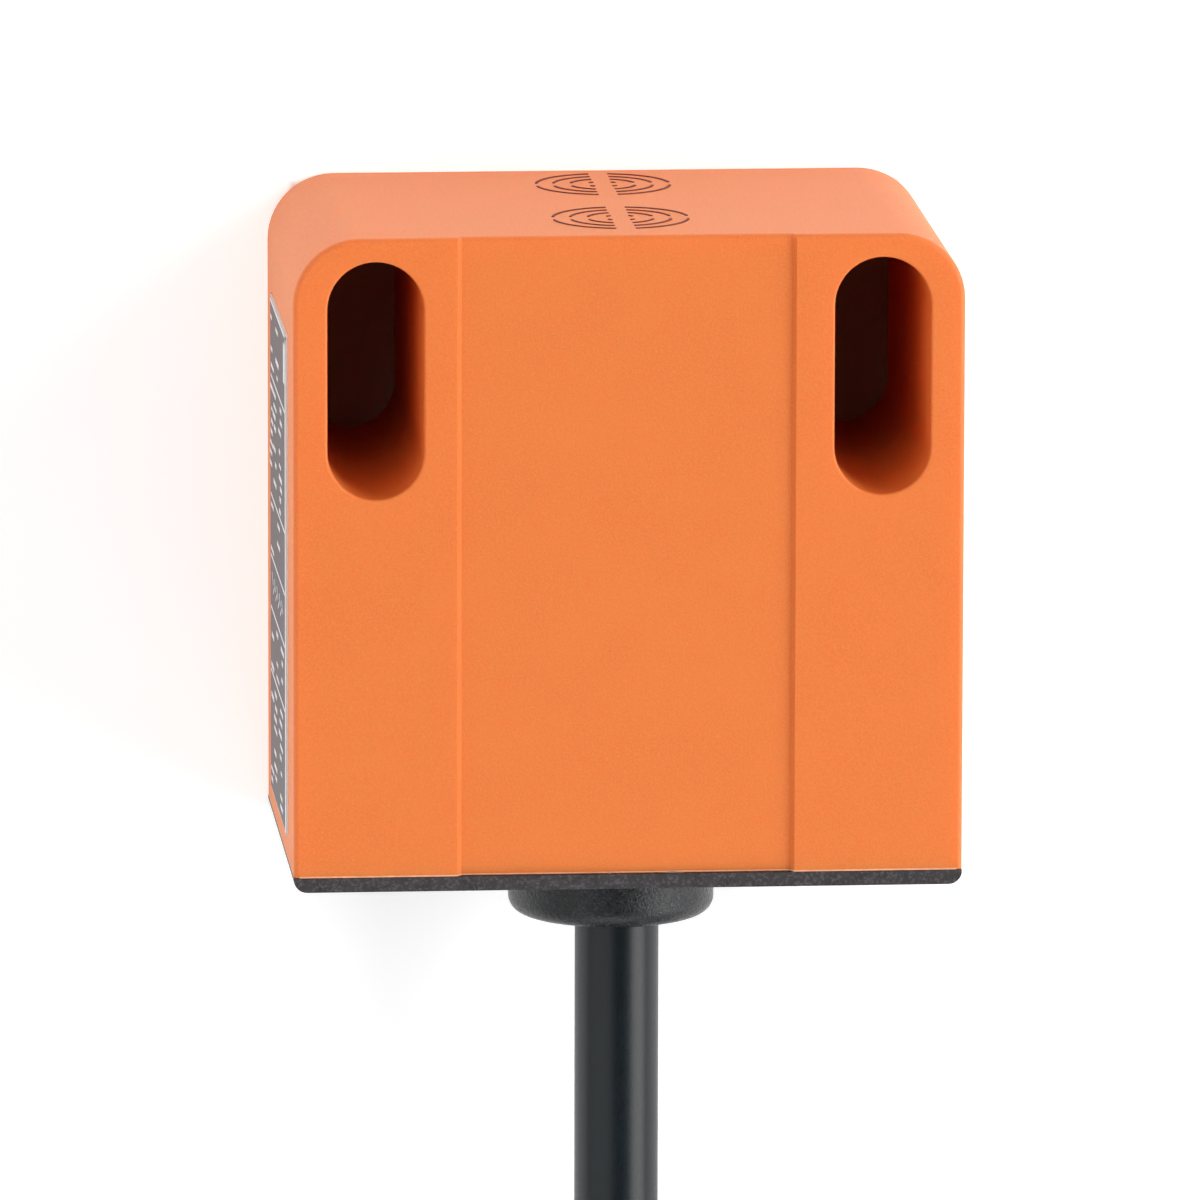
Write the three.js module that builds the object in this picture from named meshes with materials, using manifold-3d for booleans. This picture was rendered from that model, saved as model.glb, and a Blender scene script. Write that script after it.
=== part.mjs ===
// Dual inductive proximity sensor: a rectangular moulded housing with two mounting slots,
// two sensing coils behind its sensing face, and a moulded-in cable wound into a tied hank.
// Millimetres. The sensor lies on its mounting face: Z = 0 is that face, +Z is the face with
// the slot mouths, +Y points out of the sensing face and the cable leaves towards -Y.
import * as THREE from 'three';
import { mergeVertices } from 'three/addons/utils/BufferGeometryUtils.js';
import Module from 'manifold-3d';

// ---- Driving dimensions ----

const WIDTH = 40; // along X
const LENGTH = 38.4; // the orange moulding, along Y
const DEPTH = 26; // along Z, mounting face to front face
const WALL = 1.2;
const CORNER_RADIUS = 4; // the two corners beside the sensing face
const PANEL_LEFT = -10.1; // the centre panel of the front face is set back
const PANEL_RIGHT = 9.8;
const PANEL_STEP = 0.3;

const SLOT_WIDTH = 5.74;
const SLOT_LENGTH = 14.28;
const SLOT_OFFSET = 15.09; // slot centre from the middle plane
const SLOT_EDGE = 1.41; // sensing face to the end of a slot
const SLOT_WALL = 1.6; // wall between a slot and the inside

const COVER_GAP = 0.12; // shadow line between housing and end cover
const COVER_THICKNESS = 0.88;
const COVER_CORNER = 0.85;
const SPIGOT_DEPTH = 1.92;
const SPIGOT_GAP = 0.2;

const COLLAR_RADIUS = 6.22;
const COLLAR_LENGTH = 3.85;
const COLLAR_EDGE = 1;
const NECK_RADIUS = 4;
const NECK_FLANGE_RADIUS = 5;

const AXIS_Z = 13; // height of the cable outlet
const CABLE_X = 0.36; // the cable sits slightly off the collar's centre
const CABLE_DIAMETER = 5.1;
const BORE_RADIUS = 2.85;

const COIL_RING_Z = [6, 19]; // heights of the two sensing coils
const CORE_RADIUS = 4.3; // half pot core

const BOARD_Z = 10; // middle of the circuit board
const BOARD_THICKNESS = 1;

const LABEL_THICKNESS = 0.1;
const LABEL_POCKET = 0.15;
const LABEL_Y = [-18, 12.6];
const LABEL_Z = [4.4, 20.4];

const GUIDE_RADIUS = 1.2; // light guides of the two switching indicators
const GUIDE_X = [-12, 12];

// The wound-up part of the cable: a long hank of turns, in line with the sensor.
const HANK_X = 12;
const HANK_Y = -84.5; // centre of the near round end
const HANK_RUN = 20.92; // straight part of each turn
const TURN_OUTER = 26.7; // centreline radius of the outermost turn at the round ends
const TURN_INNER = 16;
const TURN_RISE = 5.2; // from one layer to the next
const TURN_LAYERS = 5;
const TURN_LIFT = 0.6; // the ties pass under the turns
const LEAD_STRAIGHT = [-23, -43.4]; // the cable's way from inside the collar, along Y
const LEAD_BEND = 21; // radius of the two bends that bring it down to the hank
const BEND_STEPS = 6;
const TIE_WIDTH = 4.5;
const TIE_THICKNESS = 0.5;
const TIE_PLACES = [
  [HANK_Y, 100], // round end and angle round it, in degrees
  [HANK_Y - HANK_RUN, 290],
];

const CORE_WIRE_DIAMETER = 1.3;
const TIP_DIAMETER = 1.1;
const TIP_LENGTH = 6;
const TIP_GAP = 0.3; // between a wire's insulation and its tinned tip
const WIRE_START = 3; // the wires begin this far past the end of the jacket
const WIRE_STEP = 6.5; // and go on in steps of this length, fanning out
const WIRE_STEPS = 4;
const WIRE_SPACING = 1.5;
const WIRE_FAN = 0.55; // extra spacing with each step
const WIRE_DRIFT = 1.3; // outwards with each step

// ---- Derived places ----

const Y_SENSE = LENGTH / 2;
const Y_MOUTH = -LENGTH / 2;
const Y_COVER = Y_MOUTH - COVER_GAP;
const Y_COVER_END = Y_COVER - COVER_THICKNESS;
const Y_COLLAR_END = Y_COVER_END - 0.1 - COLLAR_LENGTH;
const SLOT_TOP = Y_SENSE - SLOT_EDGE;
const SLOT_BOTTOM = SLOT_TOP - SLOT_LENGTH;
const FLANGE_Y = Y_COVER + SPIGOT_DEPTH + 0.2; // the collar's flange behind the cover
const BOARD_TOP = BOARD_Z + BOARD_THICKNESS / 2;
const GUIDE_Z = BOARD_TOP + 0.8;
const GUIDE_Y = [Y_COVER_END + 0.02, -11.8];
const JACKET_END_Y = -13.4; // inside the housing

// ---- Shape helpers ----

const wasm = await Module();
wasm.setup();

function solid(geometry) {
  const bare = geometry.clone();
  bare.deleteAttribute('normal');
  bare.deleteAttribute('uv');
  const merged = mergeVertices(bare, 1e-4);
  const mesh = new wasm.Mesh({
    numProp: 3,
    vertProperties: new Float32Array(merged.attributes.position.array),
    triVerts: new Uint32Array(merged.index.array),
  });
  return new wasm.Manifold(mesh);
}

function geometryOf(body) {
  const mesh = body.getMesh();
  const geometry = new THREE.BufferGeometry();
  const positions = new Float32Array(mesh.vertProperties);
  const triangles = new Uint32Array(mesh.triVerts);
  geometry.setAttribute('position', new THREE.BufferAttribute(positions, 3));
  geometry.setIndex(new THREE.BufferAttribute(triangles, 1));
  geometry.computeVertexNormals();
  return geometry;
}

function cut(geometry, ...tools) {
  let body = solid(geometry);
  for (const tool of tools) {
    body = body.subtract(solid(tool));
  }
  return geometryOf(body);
}

function join(geometry, ...others) {
  let body = solid(geometry);
  for (const other of others) {
    body = body.add(solid(other));
  }
  return geometryOf(body);
}

// A box from its lowest and highest corner.
function box(x, y, z) {
  const geometry = new THREE.BoxGeometry(x[1] - x[0], y[1] - y[0], z[1] - z[0]);
  return geometry.translate((x[0] + x[1]) / 2, (y[0] + y[1]) / 2, (z[0] + z[1]) / 2);
}

// A plan outline in X and Y, raised from z[0] to z[1].
function raise(shape, z, curveSegments = 8) {
  const geometry = new THREE.ExtrudeGeometry(shape, {
    depth: z[1] - z[0],
    bevelEnabled: false,
    curveSegments,
  });
  return geometry.translate(0, 0, z[0]);
}

// A cylinder along Y.
function rod(radius, y, x, z, sides = 24) {
  const geometry = new THREE.CylinderGeometry(radius, radius, y[1] - y[0], sides);
  return geometry.translate(x, (y[0] + y[1]) / 2, z);
}

// A turned piece whose axis runs along Y; profile points are [radius, y].
function turned(profile, x, z, sides = 32) {
  const points = profile.map(([r, y]) => new THREE.Vector2(r, y));
  return new THREE.LatheGeometry(points, sides).translate(x, 0, z);
}

function circleSection(radius, sides) {
  const points = [];
  for (let i = 0; i < sides; i += 1) {
    const angle = (2 * Math.PI * i) / sides;
    points.push(new THREE.Vector2(radius * Math.cos(angle), radius * Math.sin(angle)));
  }
  return new THREE.Shape(points);
}

// A smooth curve through the points.
function smoothCurve(points) {
  const corners = points.map((p) => new THREE.Vector3(...p));
  return new THREE.CatmullRomCurve3(corners, false, 'centripetal');
}

// A round bar along that curve.
function bar(points, radius, steps, sides = 8) {
  return new THREE.ExtrudeGeometry(circleSection(radius, sides), {
    steps,
    bevelEnabled: false,
    extrudePath: smoothCurve(points),
  });
}

function slotOutline(x) {
  const r = SLOT_WIDTH / 2;
  const shape = new THREE.Shape();
  shape.moveTo(x + r, SLOT_BOTTOM + r);
  shape.lineTo(x + r, SLOT_TOP - r);
  shape.absarc(x, SLOT_TOP - r, r, 0, Math.PI, false);
  shape.lineTo(x - r, SLOT_BOTTOM + r);
  shape.absarc(x, SLOT_BOTTOM + r, r, Math.PI, 2 * Math.PI, false);
  return shape;
}

function housingOutline() {
  const w = WIDTH / 2;
  const r = CORNER_RADIUS;
  const shape = new THREE.Shape();
  shape.moveTo(-w, Y_MOUTH);
  shape.lineTo(w, Y_MOUTH);
  shape.lineTo(w, Y_SENSE - r);
  shape.absarc(w - r, Y_SENSE - r, r, 0, Math.PI / 2, false);
  shape.lineTo(-w + r, Y_SENSE);
  shape.absarc(-w + r, Y_SENSE - r, r, Math.PI / 2, Math.PI, false);
  shape.lineTo(-w, Y_MOUTH);
  return shape;
}

// ---- Materials and nodes ----

const sensor = new THREE.Group();

const FINISHES = {
  orange: [0xe8742f, 0.45, 0],
  black: [0x2c2b2d, 0.55, 0],
  jacket: [0x1f2427, 0.5, 0],
  label: [0x6a6668, 0.4, 0],
  resin: [0x3a2a1c, 0.35, 0],
  carrier: [0xd9d4c4, 0.6, 0],
  ferrite: [0x2a2a2c, 0.7, 0.1],
  copper: [0xb4622c, 0.35, 0.9],
  board: [0x1f5a35, 0.5, 0],
  chip: [0x18181a, 0.5, 0],
  ceramic: [0xb59a74, 0.5, 0],
  clear: [0xe6e2c8, 0.15, 0],
  steel: [0xa8abad, 0.35, 0.9],
  tinned: [0xc4c6c8, 0.3, 0.9],
  brown: [0x5a3420, 0.5, 0],
  white: [0xe6e4dc, 0.5, 0],
  blue: [0x2456a8, 0.5, 0],
  dark: [0x1b1c1e, 0.5, 0],
};

function add(name, finish, geometry) {
  const [color, roughness, metalness] = FINISHES[finish];
  const material = new THREE.MeshStandardMaterial({ color, roughness, metalness });
  const mesh = new THREE.Mesh(geometry, material);
  mesh.name = name;
  sensor.add(mesh);
}

// ---- Housing, cover, collar and label ----

function makeHousing() {
  const outer = raise(housingOutline(), [0, DEPTH], 8);
  const over = [-1, DEPTH + 1];
  const slots = [-SLOT_OFFSET, SLOT_OFFSET].map((x) => raise(slotOutline(x), over, 10));
  const inner = WIDTH / 2 - WALL;
  const narrow = SLOT_OFFSET - SLOT_WIDTH / 2 - SLOT_WALL;
  const below = SLOT_BOTTOM - SLOT_WALL;
  const cavityWide = box([-inner, inner], [Y_MOUTH - 1, below], [WALL, DEPTH - WALL]);
  const cavityNarrow = box([-narrow, narrow], [below - 1, Y_SENSE - WALL], [WALL, DEPTH - WALL]);
  const panelX = [PANEL_LEFT, PANEL_RIGHT];
  const panel = box(panelX, [Y_MOUTH - 1, Y_SENSE + 1], [DEPTH - PANEL_STEP, DEPTH + 1]);
  const label = box([-WIDTH / 2 - 1, -WIDTH / 2 + LABEL_POCKET], LABEL_Y, LABEL_Z);
  return cut(outer, ...slots, cavityWide, cavityNarrow, panel, label);
}

function coverOutline() {
  const w = WIDTH / 2;
  const r = COVER_CORNER;
  const shape = new THREE.Shape();
  shape.moveTo(w, Y_COVER);
  shape.lineTo(-w, Y_COVER);
  shape.absarc(-w + r, Y_COVER_END + r, r, Math.PI, 1.5 * Math.PI, false);
  shape.absarc(w - r, Y_COVER_END + r, r, 1.5 * Math.PI, 2 * Math.PI, false);
  shape.lineTo(w, Y_COVER);
  return shape;
}

function makeCover() {
  const plate = raise(coverOutline(), [0, DEPTH], 5);
  const reach = WIDTH / 2 - WALL - SPIGOT_GAP;
  const low = WALL + SPIGOT_GAP;
  const spigot = box([-reach, reach], [Y_COVER - 0.4, Y_COVER + SPIGOT_DEPTH], [low, DEPTH - low]);
  const through = [Y_COVER_END - 1, Y_COVER + SPIGOT_DEPTH + 1];
  const outlet = rod(NECK_RADIUS + 0.25, through, 0, AXIS_Z, 32);
  const windows = GUIDE_X.map((x) => rod(GUIDE_RADIUS + 0.1, through, x, GUIDE_Z, 16));
  return cut(join(plate, spigot), outlet, ...windows);
}

// The collar, its neck through the cover and the flange behind it are one moulding.
function makeCollar() {
  const yRim = Y_COVER_END - 0.1;
  const profile = [[0, Y_COLLAR_END]];
  for (let i = 0; i <= 4; i += 1) {
    const angle = (i / 4) * (Math.PI / 2);
    const r = COLLAR_RADIUS - COLLAR_EDGE + COLLAR_EDGE * Math.sin(angle);
    profile.push([r, Y_COLLAR_END + COLLAR_EDGE - COLLAR_EDGE * Math.cos(angle)]);
  }
  profile.push([COLLAR_RADIUS, yRim]);
  profile.push([NECK_RADIUS, yRim]);
  profile.push([NECK_RADIUS, FLANGE_Y]);
  profile.push([NECK_FLANGE_RADIUS, FLANGE_Y]);
  profile.push([NECK_FLANGE_RADIUS, FLANGE_Y + 1.2]);
  profile.push([0, FLANGE_Y + 1.2]);
  const body = turned(profile, 0, AXIS_Z, 40);
  const bore = rod(BORE_RADIUS, [Y_COLLAR_END - 1, FLANGE_Y + 3], CABLE_X, AXIS_Z, 32);
  return cut(body, bore);
}

// The cast resin that closes the housing behind the cover.
function makeResin() {
  const slab = box([-18.5, 18.5], [FLANGE_Y, FLANGE_Y + 2.2], [1.5, DEPTH - 1.5]);
  const through = [FLANGE_Y - 1, FLANGE_Y + 4];
  const outlet = rod(NECK_FLANGE_RADIUS + 0.2, through, 0, AXIS_Z, 32);
  const guides = GUIDE_X.map((x) => rod(GUIDE_RADIUS + 0.1, through, x, GUIDE_Z, 16));
  return cut(slab, outlet, ...guides);
}

function makeLabel() {
  const gap = 0.15;
  const x = [-WIDTH / 2, -WIDTH / 2 + LABEL_THICKNESS];
  return box(x, [LABEL_Y[0] + gap, LABEL_Y[1] - gap], [LABEL_Z[0] + gap, LABEL_Z[1] - gap]);
}

// ---- Sensing coils ----

const CARRIER_BACK = 11;
const CORE_BACK = 15;
const CORE_FRONT = 17.6;
const PIN_X = [-3.6, -1.2, 1.2, 3.6];
const PIN_Z = 10.95;

function makeCarrier() {
  const block = box([-9.8, 9.8], [CARRIER_BACK, CORE_FRONT], [3.2, 21.8]);
  const pockets = COIL_RING_Z.map((z) => rod(CORE_RADIUS + 0.15, [CORE_BACK - 0.15, 20], 0, z, 32));
  return cut(block, ...pockets);
}

function potCore(z) {
  const profile = [
    [0, CORE_BACK],
    [CORE_RADIUS, CORE_BACK],
    [CORE_RADIUS, CORE_FRONT],
    [3.6, CORE_FRONT],
    [3.6, CORE_BACK + 0.8],
    [1.6, CORE_BACK + 0.8],
    [1.6, CORE_FRONT],
    [0, CORE_FRONT],
  ];
  return turned(profile, 0, z, 28);
}

// The bobbin is a thin spool in the core's groove.
function bobbin(z) {
  const back = CORE_BACK + 0.9;
  const front = CORE_FRONT - 0.1;
  const profile = [
    [1.7, back],
    [3.5, back],
    [3.5, back + 0.2],
    [1.95, back + 0.2],
    [1.95, front - 0.2],
    [3.5, front - 0.2],
    [3.5, front],
    [1.7, front],
    [1.7, back],
  ];
  return turned(profile, 0, z, 24);
}

function winding(z) {
  const back = CORE_BACK + 1.15;
  const front = CORE_FRONT - 0.35;
  const profile = [[2, back], [3.4, back], [3.4, front], [2, front], [2, back]];
  return turned(profile, 0, z, 24);
}

// A pin carries a coil's wire from the carrier down to the board.
function coilPin(x) {
  return bar([[x, CARRIER_BACK - 0.2, PIN_Z], [x, 8, PIN_Z]], 0.3, 1, 8);
}

// ---- Electronics ----

function makeBoard() {
  const shape = new THREE.Shape();
  const outline = [
    [-16, -11.5], [-4.6, -11.5], [-4.6, -9.2], [4.6, -9.2], [4.6, -11.5], [16, -11.5],
    [16, 1.2], [9.3, 1.2], [9.3, 9.6], [-9.3, 9.6], [-9.3, 1.2], [-16, 1.2],
  ];
  shape.setFromPoints(outline.map(([x, y]) => new THREE.Vector2(x, y)));
  return raise(shape, [BOARD_Z - BOARD_THICKNESS / 2, BOARD_TOP]);
}

// A part soldered on the board, given its centre and its size.
function onBoard(x, y, sizeX, sizeY, height) {
  const z = BOARD_TOP + 0.05;
  return box([x - sizeX / 2, x + sizeX / 2], [y - sizeY / 2, y + sizeY / 2], [z, z + height]);
}

// ---- Cable ----

const TURN_Z = TURN_LIFT + CABLE_DIAMETER / 2;
const TURN_TOP = TURN_LIFT + CABLE_DIAMETER + (TURN_LAYERS - 1) * TURN_RISE;

// From inside the collar, down to the floor in two bends and up to the start of the first turn.
function leadRoute() {
  const acrossX = HANK_X - TURN_OUTER - CABLE_X;
  const acrossZ = TURN_Z - AXIS_Z;
  const shift = Math.hypot(acrossX, acrossZ);
  const bend = Math.acos(1 - shift / (2 * LEAD_BEND));
  const [inside, start] = LEAD_STRAIGHT;
  const end = start - 2 * LEAD_BEND * Math.sin(bend);
  const place = (along, share) => [CABLE_X + acrossX * share, along, AXIS_Z + acrossZ * share];
  const points = [];
  for (let y = inside; y > start; y -= 4) {
    points.push(place(y, 0));
  }
  for (let i = 0; i < BEND_STEPS; i += 1) {
    const angle = (bend * i) / BEND_STEPS;
    const aside = LEAD_BEND * (1 - Math.cos(angle));
    points.push(place(start - LEAD_BEND * Math.sin(angle), aside / shift));
  }
  for (let i = BEND_STEPS; i >= 0; i -= 1) {
    const angle = (bend * i) / BEND_STEPS;
    const aside = LEAD_BEND * (1 - Math.cos(angle));
    points.push(place(end + LEAD_BEND * Math.sin(angle), 1 - aside / shift));
  }
  points.push(place((end + HANK_Y) / 2, 1));
  points.push(place(HANK_Y + 0.3, 1));
  return points;
}

// A long outline with round ends, at a radius from the middle of the hank.
function hankOutline(Kind, radius) {
  const outline = new Kind();
  outline.moveTo(HANK_X + radius, HANK_Y - HANK_RUN);
  outline.lineTo(HANK_X + radius, HANK_Y);
  outline.absarc(HANK_X, HANK_Y, radius, 0, Math.PI, false);
  outline.lineTo(HANK_X - radius, HANK_Y - HANK_RUN);
  outline.absarc(HANK_X, HANK_Y - HANK_RUN, radius, Math.PI, 2 * Math.PI, false);
  return outline;
}

// The turns lie close together, so one solid stands for them all.
function makeHank() {
  const r = CABLE_DIAMETER / 2;
  const shape = hankOutline(THREE.Shape, TURN_OUTER + r - 0.25);
  shape.holes.push(hankOutline(THREE.Path, TURN_INNER - r + 0.25));
  const turns = raise(shape, [TURN_LIFT + 0.15, TURN_TOP - 0.15], 14);
  // The first turn runs into the hank through a channel.
  const route = leadRoute();
  const [x, y, z] = route[route.length - 1];
  const channel = bar([...route, [x, y - 0.6, z]], r + 0.6, 40, 12);
  return cut(turns, channel);
}

// A flat tie round the bundle of turns, with its twisted tail on top.
function makeTie([endY, angle]) {
  const r = CABLE_DIAMETER / 2;
  const inner = TURN_INNER - r - 0.1;
  const outer = TURN_OUTER + r + 0.1;
  const low = TURN_LIFT - 0.05;
  const high = TURN_TOP + 0.1;
  const t = TIE_THICKNESS;
  const half = TIE_WIDTH / 2;
  const around = box([inner - t, outer + t], [-half, half], [low - t, high + t]);
  const bundle = box([inner, outer], [-half - 1, half + 1], [low, high]);
  const middle = (inner + outer) / 2;
  const twist = box([middle - 6, middle + 6], [-1, 1], [high + t - 0.2, high + t + 1.6]);
  const geometry = join(cut(around, bundle), twist);
  geometry.rotateZ(THREE.MathUtils.degToRad(angle));
  return geometry.translate(HANK_X, endY, 0);
}

// A place on the hank's path, a distance past the start of its near left corner.
function onHank(along, radius, z) {
  if (along < HANK_RUN) {
    return [HANK_X - radius, HANK_Y - along, z];
  }
  const angle = Math.PI + (along - HANK_RUN) / TURN_INNER;
  return [HANK_X + radius * Math.cos(angle), HANK_Y - HANK_RUN + radius * Math.sin(angle), z];
}

// The jacket of the full length ends on the innermost turn of the top layer, where the hank's
// left run begins. The four wires lie on the turns past it.
function wireRoute(index) {
  const z = TURN_TOP + CORE_WIRE_DIAMETER / 2 + 0.1;
  const spread = index - 1.5;
  const points = [];
  for (let i = 0; i <= WIRE_STEPS; i += 1) {
    const radius = TURN_INNER + 2.5 + spread * (WIRE_SPACING + WIRE_FAN * i) + i * WIRE_DRIFT;
    points.push(onHank(WIRE_START + i * WIRE_STEP, radius, z));
  }
  return points;
}

function wireTip(route) {
  const [before, end] = route.slice(-2).map((p) => new THREE.Vector3(...p));
  const along = end.clone().sub(before).normalize();
  const from = end.clone().addScaledVector(along, TIP_GAP);
  const to = from.clone().addScaledVector(along, TIP_LENGTH);
  return bar([from.toArray(), to.toArray()], TIP_DIAMETER / 2, 1, 8);
}

const WIRE_NAMES = ['brown', 'white', 'blue', 'black'];
const WIRE_FINISHES = ['brown', 'white', 'blue', 'dark'];

// ---- Cable end inside the housing ----

const CRIMP_RADII = [2.75, 3.4];
const CRIMP_Y = [-15.2, -13.8];
const JACKET_START_Y = -22.7;
const JACKET_CLEARANCE = 0.02;
const PAD_X = [-3.8, -1.3, 1.3, 3.8]; // where the wires are soldered to the board
const WIRE_RISE = [0.85, -0.85, -0.85, 0.85]; // each wire's height about the cable's axis

function makeCrimp() {
  const [inner, outer] = CRIMP_RADII;
  const [back, front] = CRIMP_Y;
  const profile = [[inner, back], [outer, back], [outer, front], [inner, front], [inner, back]];
  return turned(profile, CABLE_X, AXIS_Z, 24);
}

function makeJacketEnd() {
  const radius = CABLE_DIAMETER / 2 - JACKET_CLEARANCE;
  return rod(radius, [JACKET_START_Y, JACKET_END_Y], CABLE_X, AXIS_Z, 20);
}

function innerLead(index) {
  const x = PAD_X[index];
  const start = CABLE_X + 0.85 * Math.sign(x);
  const z = AXIS_Z + WIRE_RISE[index];
  const across = x - start;
  const points = [
    [start, JACKET_END_Y + 0.3, z],
    [start + across * 0.25, JACKET_END_Y + 1.4, z - 0.2],
    [start + across * 0.8, JACKET_END_Y + 3.6, BOARD_TOP + 1.1],
    [x, JACKET_END_Y + 5.6, BOARD_TOP + 0.75],
    [x, JACKET_END_Y + 6.8, BOARD_TOP + 0.72],
  ];
  return bar(points, CORE_WIRE_DIAMETER / 2, 8, 8);
}

// ---- Assembly ----

add('housing', 'orange', makeHousing());
add('end_cover', 'black', makeCover());
add('cable_collar', 'black', makeCollar());
add('side_label', 'label', makeLabel());

add('coil_carrier', 'carrier', makeCarrier());
for (const [name, z] of [['rear', COIL_RING_Z[0]], ['front', COIL_RING_Z[1]]]) {
  add(`pot_core_${name}`, 'ferrite', potCore(z));
  add(`bobbin_${name}`, 'carrier', bobbin(z));
  add(`winding_${name}`, 'copper', winding(z));
}
for (const [i, x] of PIN_X.entries()) {
  add(`coil_pin_${i + 1}`, 'tinned', coilPin(x));
}

add('circuit_board', 'board', makeBoard());
add('controller_chip', 'chip', onBoard(0, 2, 6, 6, 1));
add('output_chip_1', 'chip', onBoard(-10, -3, 3, 2.6, 1));
add('output_chip_2', 'chip', onBoard(10, -3, 3, 2.6, 1));
add('capacitor_1', 'ceramic', onBoard(-5.6, -3.2, 1.6, 3.2, 1.3));
add('capacitor_2', 'ceramic', onBoard(5.6, -3.2, 1.6, 3.2, 1.3));
add('protection_diode', 'chip', onBoard(0, -4.2, 4.2, 2.4, 1.2));
for (const [i, x] of GUIDE_X.entries()) {
  add(`indicator_led_${i + 1}`, 'clear', onBoard(x, -10.8, 1.6, 0.9, 1.4));
  add(`light_guide_${i + 1}`, 'clear', rod(GUIDE_RADIUS, GUIDE_Y, x, GUIDE_Z, 16));
}
add('potting_resin', 'resin', makeResin());
add('crimp_ring', 'steel', makeCrimp());
add('jacket_inner_end', 'jacket', makeJacketEnd());

for (const [i, name] of WIRE_NAMES.entries()) {
  add(`inner_lead_${name}`, WIRE_FINISHES[i], innerLead(i));
}

add('cable', 'jacket', bar(leadRoute(), CABLE_DIAMETER / 2, 26, 12));
add('cable_coil', 'jacket', makeHank());
for (const [i, place] of TIE_PLACES.entries()) {
  add(`coil_tie_${i + 1}`, 'white', makeTie(place));
}
for (const [i, name] of WIRE_NAMES.entries()) {
  const route = wireRoute(i);
  add(`wire_${name}`, WIRE_FINISHES[i], bar(route, CORE_WIRE_DIAMETER / 2, 6, 8));
  add(`wire_tip_${name}`, 'tinned', wireTip(route));
}

export default sensor;
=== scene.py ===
"""Looks of a two-coil proximity sensor: an orange moulding with slotted ears, a black end cover
and collar, and its cable wound into a tied hank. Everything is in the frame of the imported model."""
import math

import bmesh
import bpy
import numpy as np
from mathutils import Matrix, Vector


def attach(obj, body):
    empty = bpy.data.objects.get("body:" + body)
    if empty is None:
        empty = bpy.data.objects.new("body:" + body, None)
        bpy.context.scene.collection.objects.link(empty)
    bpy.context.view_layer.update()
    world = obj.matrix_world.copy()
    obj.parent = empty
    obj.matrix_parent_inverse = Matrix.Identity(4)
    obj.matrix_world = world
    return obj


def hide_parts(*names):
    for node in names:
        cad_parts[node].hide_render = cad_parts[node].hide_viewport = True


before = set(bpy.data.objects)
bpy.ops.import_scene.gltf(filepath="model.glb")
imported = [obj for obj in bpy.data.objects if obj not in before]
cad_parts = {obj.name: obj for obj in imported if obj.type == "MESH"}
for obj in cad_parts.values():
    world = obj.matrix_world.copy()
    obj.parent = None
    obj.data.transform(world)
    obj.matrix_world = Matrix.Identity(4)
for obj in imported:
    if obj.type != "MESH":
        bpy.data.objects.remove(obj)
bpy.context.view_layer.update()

# Shapes are worked out in millimetres and put into metres at the end.
MM = 0.001

# ---- Camera ----

CAMERA_PLACE = (-0.07297767, 0.15955845, 0.90166710)
CAMERA_FORWARD = Vector((0.07972948, -0.1815746, -0.98013972))
CAMERA_UP = Vector((0.01248965, 0.98337471, -0.18115792))
CAMERA_LENS = 450.9
CAMERA_SENSOR = 36
CAMERA_CLIP = (0.05, 30)


def make_camera():
    data = bpy.data.cameras.new("studio_camera")
    data.lens = CAMERA_LENS
    data.sensor_width = CAMERA_SENSOR
    data.clip_start, data.clip_end = CAMERA_CLIP
    camera = bpy.data.objects.new("studio_camera", data)
    bpy.context.scene.collection.objects.link(camera)
    right = CAMERA_FORWARD.cross(CAMERA_UP).normalized()
    up = right.cross(CAMERA_FORWARD).normalized()
    turn = Matrix((right, up, -CAMERA_FORWARD.normalized())).transposed()
    camera.matrix_world = Matrix.Translation(CAMERA_PLACE) @ turn.to_4x4()
    bpy.context.scene.camera = camera


make_camera()

# ---- Sizes of the sensor, in millimetres ----

WIDTH = 40
LENGTH = 38.4
DEPTH = 26
WALL = 1.2
CORNER = 4
MOUTH_CORNER = 0.3
BACK_EDGE = 0.45
FRONT_EDGE = 0.35
MOUTH_BEVEL = 0.14
MOUTH_DROP = 0.07
MOUTH_LOW = 0.09
PANEL_X = (-10.1, 9.8)
PANEL_STEP = 0.3
PANEL_RAMP = 0.13
SLOT_WIDTH = 5.74
SLOT_LENGTH = 14.28
SLOT_X = 15.09
SLOT_MARGIN = 1.41
SLOT_WALL = 1.6
SLOT_RIM = 0.16
SLOT_SEAM_Z = (12.55, 12.6, 12.68, 12.73)  # a fine ridge where the two mould cores met
SLOT_SEAM = 0.03
COVER_GAP = 0.12
COVER_THICKNESS = 0.88
COVER_CORNER = 0.8
COVER_EDGE = 0.05
SPIGOT_DEPTH = 1.92
SPIGOT_GAP = 0.2
OUTLET_RADIUS = 4.25
WINDOW_RADIUS = 1.3
RIM_GAP = 0.1
Y_SENSE = LENGTH / 2
Y_MOUTH = -LENGTH / 2
Y_COVER = Y_MOUTH - COVER_GAP
Y_COVER_END = Y_COVER - COVER_THICKNESS
Y_RIM = Y_COVER_END - RIM_GAP
COLLAR_LENGTH = 3.85
COLLAR_RADIUS = 6.22
COLLAR_EDGE = 1.0
NECK_RADIUS = 4
FLANGE_RADIUS = 5
FLANGE_THICKNESS = 1.2
BORE_RADIUS = 2.85
LIP_RADIUS = 2.62  # where the collar closes round the cable
LIP_LENGTH = 0.3
Y_COLLAR_END = Y_RIM - COLLAR_LENGTH
SLOT_TOP = Y_SENSE - SLOT_MARGIN
SLOT_BOTTOM = SLOT_TOP - SLOT_LENGTH
AXIS_Z = 13
CABLE_X = 0.36
FLANGE_Y = Y_COVER + SPIGOT_DEPTH + SPIGOT_GAP
LABEL_Y = (-18, 12.6)
LABEL_Z = (4.4, 20.4)
LABEL_POCKET = 0.15
LABEL_PROUD = 0.08
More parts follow.
